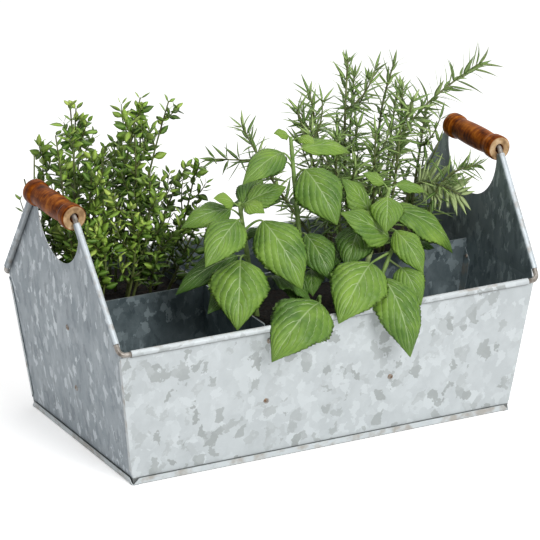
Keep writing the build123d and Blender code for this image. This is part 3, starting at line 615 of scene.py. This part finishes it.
def along_path(paths, share):
    """Points and directions at shares of each path's length."""
    place = np.clip(share, 0, 1) * (paths.shape[1] - 1)
    low = np.minimum(place.astype(int), paths.shape[1] - 2)
    which = np.arange(len(paths))[:, None]
    a, b = paths[which, low], paths[which, low + 1]
    return a + (b - a) * (place - low)[..., None], unit(b - a)


def square_to(ahead, turn):
    """Unit vectors square to a direction, turned round it by an angle."""
    first = unit(np.cross(ahead, np.array([0.2, 0.3, 0.93])))
    return first * np.cos(turn)[..., None] + np.cross(ahead, first) * np.sin(turn)[..., None]


def side_shoots(main, shares, reach, rng):
    """Shoots that leave twigs at shares of their length, bowed outwards and then up along the twig.

    At u along it, a shoot has gone aside by 0.8 u - 0.25 u^2 and onward by 0.45 u + 0.4 u^2 of its
    reach."""
    start, ahead = along_path(main, shares)
    out = square_to(ahead, rng.uniform(0, 2 * np.pi, shares.shape))[:, :, None]
    u = np.linspace(0, 1, SHOOT_STATIONS)[:, None]
    aside = 0.8 * u - 0.25 * u ** 2
    onward = 0.45 * u + 0.4 * u ** 2
    shoots = start[:, :, None] + reach[..., None, None] * (out * aside + ahead[:, :, None] * onward)
    return shoots.reshape(-1, SHOOT_STATIONS, 3)


def whorls(paths, owner, share, turn, angle, roll, rng, twist=0.0):
    """One row per leaf: base, direction, upper side, share of the path and owner of the path.

    A leaf leaves its path at an angle from it, on the side given by turn. Its upper side faces the tip
    of the path, turned round the leaf by twist and by up to roll more."""
    point, ahead = along_path(paths, share)
    out = square_to(ahead, turn)
    tilt = (angle + rng.uniform(-0.22, 0.22, share.shape))[..., None]
    lead = ahead * np.cos(tilt) + out * np.sin(tilt)
    top = ahead * np.sin(tilt) - out * np.cos(tilt)
    spin = (twist + rng.uniform(-roll, roll, share.shape))[..., None]
    top = top * np.cos(spin) + np.cross(lead, top) * np.sin(spin)
    owners = np.broadcast_to(owner[:, None], share.shape)
    vectors = [v.reshape(-1, 3) for v in (point + out * LEAF_START, lead, top)]
    return vectors + [share.ravel(), owners.ravel()]


def inside_panels(base, lead, size):
    """True for leaves that stay inside the end panels or above the grips, and below the crown's top."""
    ends = np.stack([base, base + lead * size[:, None]])
    x, y, z = np.abs(np.moveaxis(ends, -1, 0))
    limit = np.where((y < GRIP_END) & (z > GRIP_LOW), BESIDE_GRIP_X, PANEL_X)
    return np.all(((x < limit) | (z > GRIP_TOP)) & (z < CROWN_TOP), 0)


def in_thyme(x):
    """True in the thyme's own part of the length."""
    return (x > THYME_LEFT) & (x < THYME_RIGHT)


def thyme():
    """Thyme: upright twigs and bowed side shoots, set with crossed pairs of small rounded leaves."""
    rng = np.random.default_rng(5)
    main = twig_paths(THYME_TWIGS, -END_BAY_X, 15, 6.0, rng)
    twig = np.arange(len(main))
    levels = np.linspace(0.2, 0.88, 7)
    share = levels + rng.uniform(-0.06, 0.06, (len(main), len(levels)))
    shoots = side_shoots(main, share, rng.uniform(26, 54, share.shape) * (1.1 - 0.65 * share), rng)
    # A shoot that would leave the thyme's part is left out, with its leaves
    held = np.all(in_thyme(shoots[..., 0]), 1)
    shoots, shoot_owner = shoots[held], np.repeat(twig, len(levels))[held]
    sets = []
    for paths, owner, pairs in ((main, twig, 15), (shoots, shoot_owner, 5)):
        place = np.linspace(0.2, 1.0, pairs) ** 0.8 + rng.uniform(-0.02, 0.02, (len(paths), pairs))
        turn = np.arange(pairs) * np.pi / 2 + rng.uniform(-0.4, 0.4, place.shape)
        for half in (0, np.pi):
            sets.append(whorls(paths, owner, place, turn + half, 1.1 - 0.45 * place ** 3, 0.9, rng))
    base, lead, top, where, owner = (np.concatenate(group) for group in zip(*sets))
    size = rng.uniform(8.5, 13.5, len(base)) * (1 - 0.25 * np.clip(where, 0, 1) ** 8)
    keep = inside_panels(base, lead, size) & in_thyme(base[:, 0])
    base, lead, top, where, owner, size = (v[keep] for v in (base, lead, top, where, owner, size))
    wide = size * rng.uniform(0.46, 0.6, len(base))
    curl = rng.uniform(-0.05, 0.3, len(base))
    points, marks = small_leaves(base, lead, top, size, wide, curl, 5, 0.85)
    # New growth is paler, at the tips and on four low twigs, and leaves higher above the soil are
    # painted paler still: painted light on the top of the bush
    lit = 0.06 + 0.38 * where + 0.2 * (base[:, 2] - SOIL_LEVEL) / THYME_HEIGHT
    lit = lit + 0.25 * np.isin(owner, NEW_THYME)
    marks["tone"] = np.clip(lit + rng.uniform(-0.3, 0.35, len(base)), 0, 1)[:, None, None]
    greens = [(0.0, "#28410F"), (0.35, "#527826"), (0.65, "#8AAE40"), (1.0, "#C0D668")]
    skin = small_leaf_skin("thyme_leaf", greens, "#93A86A", "#9DB960")
    leaves = shell("thyme_leaves", points, skin, marks)
    bark = stem_bark("woody_thyme_stem", [(0.3, "#3F3A1C"), (0.5, "#5B6531"), (0.7, "#74834A")])
    stem_tubes = tubes(main, taper(main, 1.4, 0.6), 6)
    stems = shell("thyme_stems", stem_tubes, bark)
    sprout_tubes = tubes(shoots, taper(shoots, 0.8, 0.4), 5)
    sprouts = shell("thyme_side_shoots", sprout_tubes, bark)
    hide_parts("thyme_twigs")
    return [leaves, stems, sprouts]


def rosemary():
    """Rosemary: twigs and side shoots with whorls of needles that arch outwards, and a flat spray.

    A twig that arches is moved by its reach times sin(pi u^power)."""
    rng = np.random.default_rng(8)
    main = twig_paths(ROSEMARY_TWIGS, END_BAY_X, 21, 5.0, rng)
    twig = np.arange(len(main))
    u = np.linspace(0, 1, main.shape[1])[:, None]
    for arched, reach, power in ROSEMARY_ARCHES:
        main[arched] += np.array(reach) * np.sin(np.pi * u ** power)
    levels = np.linspace(0.32, 0.78, 3)
    share = levels + rng.uniform(-0.06, 0.06, (len(BUSHY), len(levels)))
    shoots = side_shoots(main[BUSHY], share, rng.uniform(28, 46, share.shape), rng)
    # The longest twig to the left forks three quarters of the way up, and the fork runs on nearly level
    fork_start, fork_run = main[FORKED, 15], np.array([-46, -2, 9])
    fork = fork_start + fork_run * np.linspace(0, 1, SHOOT_STATIONS)[:, None]
    shoots = np.concatenate([shoots, fork[None]])
    shoot_owner = np.append(np.repeat(BUSHY, len(levels)), FORKED)
    sets = []
    for paths, owner, nodes_each in ((main, twig, 16), (shoots, shoot_owner, 4)):
        flat = (owner == SPRAY)[:, None]
        # The flat spray and the twig over the grip are bare low down
        bare = np.select([owner == SPRAY, owner == OVER_GRIP], [0.5, 0.4], 0.0)[:, None]
        for needle in range(NEEDLES):
            place = bare + (1 - bare) * (np.linspace(0.16, 0.98, nodes_each) + 0.008 * needle)
            place = place + rng.uniform(-0.008, 0.008, (len(paths), nodes_each))
            turn = np.arange(nodes_each) * 0.6 + needle * 2 * np.pi / NEEDLES
            turn = np.where(flat, 1.2 + needle % 2 * np.pi, turn)
            turn = turn + np.where(flat, 0.12, 0.3) * rng.uniform(-1, 1, place.shape)
            # On the flat spray the blades lie in the plane of the spray, two at a node
            twist = np.where(flat, (needle % 2 - 0.5) * np.pi, 0.0)
            roll = np.where(flat, 0.25, 0.6)
            rows = whorls(paths, owner, place, turn, 1.25 - 0.6 * place ** 4, roll, rng, twist)
            shown = (rows[-1] != SPRAY) | (needle < 2)
            sets.append([row[shown] for row in rows])
    base, lead, top, where, owner = (np.concatenate(group) for group in zip(*sets))
    spray = owner == SPRAY
    fuller = 1 + 0.15 * spray + 0.3 * (owner == OVER_GRIP)
    size = rng.uniform(15, 26, len(base)) * (1 - 0.2 * np.clip(where, 0, 1) ** 4) * fuller
    # Needles that would meet a panel or a grip, or pass the crown's top, are half as long, and those
    # that still would are left out
    size = np.where(inside_panels(base, lead, size), size, 0.5 * size)
    keep = inside_panels(base, lead, size)
    base, lead, top, where, spray, size, fuller = (
        v[keep] for v in (base, lead, top, where, spray, size, fuller))
    wide = rng.uniform(2.3, 3.1, len(base)) * fuller * (1 + 0.35 * spray)
    curl = np.where(spray, 0.1, rng.uniform(-0.1, 0.4, len(base)))
    points, marks = small_leaves(base, lead, top, size, wide, curl, 7, 0.62)
    lit = 0.35 + 0.25 * where + 0.5 * spray + rng.uniform(-0.3, 0.3, len(base))
    marks["tone"] = np.clip(lit, 0, 1)[:, None, None]
    greens = [(0.0, "#3A5A1E"), (0.35, "#698B3F"), (0.7, "#96B264"), (1.0, "#C0D28F")]
    skin = small_leaf_skin("rosemary_needle", greens, "#A9BB88", "#A4BC7E")
    leaves = shell("rosemary_needles", points, skin, marks)
    bark = stem_bark("woody_rosemary_stem", [(0.3, "#4C4A2B"), (0.5, "#6A7443"), (0.7, "#8A9364")])
    stem_tubes = tubes(main, taper(main, 1.7, 0.8), 7)
    stems = shell("rosemary_stems", stem_tubes, bark)
    sprout_tubes = tubes(shoots, taper(shoots, 1.0, 0.6), 6)
    sprouts = shell("rosemary_side_shoots", sprout_tubes, bark)
    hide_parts("rosemary_twigs")
    return [leaves, stems, sprouts]


def soil_block(name, node, finish, seed):
    """Soil that fills its bay: leaning sides up to a crumbly top of summed sines and noise.

    Square rings run up the sides from the floor, and then shrink across the top to its middle. They keep
    top_gap and foot_gap from the solid's sides, and the crumbs lie about sink below its top."""
    top_gap, foot_gap, sink = 0.4, 0.3, 2.2
    rng = np.random.default_rng(seed)
    low, high = (np.array(c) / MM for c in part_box(node))
    mesh = nodes[node].data
    co = np.empty(len(mesh.vertices) * 3, np.float32)
    mesh.vertices.foreach_get("co", co)
    co = co.reshape(-1, 3) / MM
    floor = co[co[:, 2] < low[2] + 0.5, :2]
    around = np.linspace(0, 2 * np.pi, 192, endpoint=False)
    square = np.column_stack([np.cos(around), np.sin(around)])
    square = square / np.abs(square).max(1, keepdims=True)
    shrink = np.linspace(1, 0.004, 48)[:, None, None]
    top_xy = (low + high)[:2] / 2 + shrink * square * ((high - low)[:2] / 2 - top_gap)
    waves = sum(0.12 * k * np.sin(top_xy @ rng.normal(0, 1 / k, 2) + rng.uniform(0, 6.3))
                for k in (2, 3, 5, 8))
    height = high[2] - sink + waves + rng.normal(0, 0.35, waves.shape)
    top = np.concatenate([top_xy, height[..., None]], -1)
    near, far = floor.min(0), floor.max(0)
    foot_xy = (near + far) / 2 + square * ((far - near) / 2 - foot_gap)
    foot = np.concatenate([foot_xy, np.full((len(around), 1), low[2])], -1)
    sides = foot + (top[0] - foot) * np.linspace(0, 1, 9)[:-1, None, None]
    made = shell(name, np.concatenate([sides, top])[None], finish)
    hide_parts(node)
    return made


def turned_grip(name, node, x, finish):
    """Turned grip: half a profile of radius by place, mirrored, carried round the axis, and the bore.

    The surface runs out of true by about a tenth of a millimetre."""
    end, bore, out_of_true = 40.2, 3.9, 0.08
    place = np.array([end, 40.0, 39.2, 37.5, 35, 32, 30, 28.8, 28, 27, 25.5, 23, 20, 16, 12, 8, 4])
    radius = np.array([9.6, 10.3, 10.8, 11, 11, 10.95, 10.8, 10.3, 9.75, 9.5, 9.42, 9.5, 9.65, 9.85, 10,
                       10.08, 10.1])
    face = np.full(3, end)
    y = np.concatenate([face, place, [0.0], -place[::-1], -face, [-39.0, -13.0, 13.0, 39.0]])
    r = np.concatenate([[4.3, 6, 8], radius, [10.1], radius[::-1], [8, 6, 4.3], np.full(4, bore)])
    turn = np.linspace(0, 2 * np.pi, 64, endpoint=False)
    y, r = y[:, None], r[:, None]
    wide = r + np.where(r > 9, out_of_true, 0.0) * np.sin(2 * turn + 0.15 * y)
    loop = np.stack([x + wide * np.cos(turn), y + 0 * wide, GRIP_Z + wide * np.sin(turn)], -1)
    cut = np.broadcast_to((np.abs(y) > end - 0.1) & (r < 9.7), wide.shape)
    made = shell(name, loop[None], finish, {"end_grain": cut[None]}, joined=True)
    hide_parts(node)
    return made


def dress(finish, *names):
    """Gives solids of the frame one finish."""
    for name in names:
        nodes[name].data.materials.clear()
        nodes[name].data.materials.append(finish)


# Colours of the zinc: base, pale crystals and dark shards
# Darker zinc for faces turned inwards: painted shade of the inside of the trough
dull = ("#6A777C", "#A3B0B5", "#566369")
bright = ("#BBC1C3", "#CCD2D4", "#999E9D")
# Darker zinc for the outsides of the end panels: painted shade of the sides, which the lamps light less
shaded_end_zinc = ("#919BA2", "#CCD4D9", "#818A91")
# Darker zinc for the dividers: painted shade inside the trough
shaded_divider_zinc = ("#576468", "#8F9CA0", "#465357")

# Each sheet finish: name, axis that the sheet faces along, crystal size in millimetres, stretch of the
# pattern, share of pale crystals, colours outside and inside, height of the painted shade at the foot,
# which is below the ground where there is none, and the nodes that have the finish
SHEETS = [
    ("galvanised_wall_sheet", 1, 9, (1, 1, 1), 0.38, bright, dull, PAN_FLANGE,
     ("front_wall", "back_wall")),
    ("galvanised_end_sheet", 0, 5, (1, 1, 0.5), 0.22, shaded_end_zinc, dull, PAN_FLANGE,
     ("left_end_panel", "right_end_panel")),
    ("galvanised_pan_sheet", 2, 11, (1, 1, 1), 0.38, bright, bright, -1, ("base_pan",)),
    ("galvanised_long_divider_sheet", 1, 7, (1, 1, 0.7), 0.3, shaded_divider_zinc, shaded_divider_zinc, PAN_FLANGE,
     ("long_divider",)),
    ("galvanised_cross_divider_sheet", 0, 7, (1, 1, 0.7), 0.3, shaded_divider_zinc, shaded_divider_zinc, PAN_FLANGE,
     ("left_cross_divider", "right_cross_divider")),
]
for *look, names in SHEETS:
    dress(galvanised_sheet(*look), *names)
dress(drawn_wire(), "front_rim_wire", "back_rim_wire", "left_handle_wire", "right_handle_wire")
dress(dulled_rivet(), "front_rivets", "back_rivets", "left_end_rivets", "right_end_rivets")

mix = potting_mix()
pieces = basil() + thyme() + rosemary()
pieces.append(soil_block("thyme_potting_soil", "thyme_soil", mix, 1))
pieces.append(soil_block("basil_potting_soil", "basil_soil", mix, 2))
pieces.append(soil_block("rosemary_potting_soil", "rosemary_soil", mix, 3))
for piece in pieces:
    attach(piece, "planter")
wood = stained_wood()
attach(turned_grip("left_turned_grip", "left_grip", -GRIP_X, wood), "left_grip_body")
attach(turned_grip("right_turned_grip", "right_grip", GRIP_X, wood), "right_grip_body")


def seen_or_mirrored(tree):
    """Value that is 1 on rays from the camera, off a mirror and through glass, and 0 on all others."""
    path = add(tree, "ShaderNodeLightPath").outputs
    seen = path["Is Camera Ray"]
    for kind in ("Is Glossy Ray", "Is Transmission Ray"):
        seen = add(tree, "ShaderNodeMath", {"operation": "MAXIMUM"}, i0=seen, i1=path[kind]).outputs[0]
    return seen


def white_floor():
    """Pale floor that keeps the shadow of the planter and is white to the eye and in mirrors."""
    half = 2.2
    corners = [(-half, -half, 0), (half, -half, 0), (half, half, 0), (-half, half, 0)]
    mesh = bpy.data.meshes.new("floor")
    mesh.from_pydata(corners, [], [(0, 1, 2, 3)])
    made = bpy.data.objects.new("floor", mesh)
    bpy.context.scene.collection.objects.link(made)
    finish, tree = material("pale_floor")
    seen = seen_or_mirrored(tree)
    level = add(tree, "ShaderNodeMath", {"operation": "MULTIPLY"}, i0=seen, i1=0.5).outputs[0]
    matt = add(tree, "ShaderNodeBsdfDiffuse", Color=colour("#F4F4F4")).outputs[0]
    glow = add(tree, "ShaderNodeEmission", Color=(1, 1, 1, 1), Strength=level).outputs[0]
    both = add(tree, "ShaderNodeAddShader", i0=matt, i1=glow).outputs[0]
    add(tree, "ShaderNodeOutputMaterial", Surface=both)
    mesh.materials.append(finish)


def white_world():
    """Even soft sky, white where it is seen or mirrored."""
    world = bpy.data.worlds.new("studio")
    bpy.context.scene.world = world
    world.use_nodes = True
    tree = world.node_tree
    tree.nodes.clear()
    seen = seen_or_mirrored(tree)
    strength = add(tree, "ShaderNodeMapRange", Value=seen, To_Min=0.3, To_Max=1.0).outputs[0]
    sky = add(tree, "ShaderNodeBackground", Color=(1, 1, 1, 1), Strength=strength).outputs[0]
    add(tree, "ShaderNodeOutputWorld", Surface=sky)


def lamp(name, place, size, power):
    """Square area lamp that faces the middle of the planter, in metres and watts."""
    middle = Vector((0, 0, 0.12))
    data = bpy.data.lights.new(name, "AREA")
    data.size, data.energy = size, power
    made = bpy.data.objects.new(name, data)
    bpy.context.scene.collection.objects.link(made)
    made.location = place
    made.rotation_euler = (made.location - middle).to_track_quat("Z", "Y").to_euler()


def photo_camera():
    """Long lens from the front left and a little above, as fitted to the corners of the trough.

    It stands back from its aim by the distance, shifted in the plane of the picture, in millimetres."""
    azimuth, rise, tilt = np.radians([-28.02, 19.70, 0.2])
    aim = np.array([0, 0, 100])
    shift_right, shift_up, distance = -0.58, 26.69, 3075
    back = np.array([np.sin(azimuth) * np.cos(rise), -np.cos(azimuth) * np.cos(rise), np.sin(rise)])
    right = np.array([np.cos(azimuth), np.sin(azimuth), 0])
    up = np.cross(back, right)
    right, up = (right * np.cos(tilt) + up * np.sin(tilt), up * np.cos(tilt) - right * np.sin(tilt))
    place = (aim + shift_right * right + shift_up * up + distance * back) * MM
    data = bpy.data.cameras.new("photo_camera")
    data.sensor_width, data.lens = 36.0, 236.19
    made = bpy.data.objects.new("photo_camera", data)
    bpy.context.scene.collection.objects.link(made)
    made.matrix_world = Matrix([*np.column_stack([right, up, back, place]).tolist(), (0, 0, 0, 1)])
    bpy.context.scene.camera = made


white_floor()
white_world()
lamp("key", (0.2, -3.0, 1.9), 1.2, 76)
lamp("top", (0.2, 0.2, 2.6), 1.8, 22)
photo_camera()
bpy.context.scene.view_settings.view_transform = "Standard"
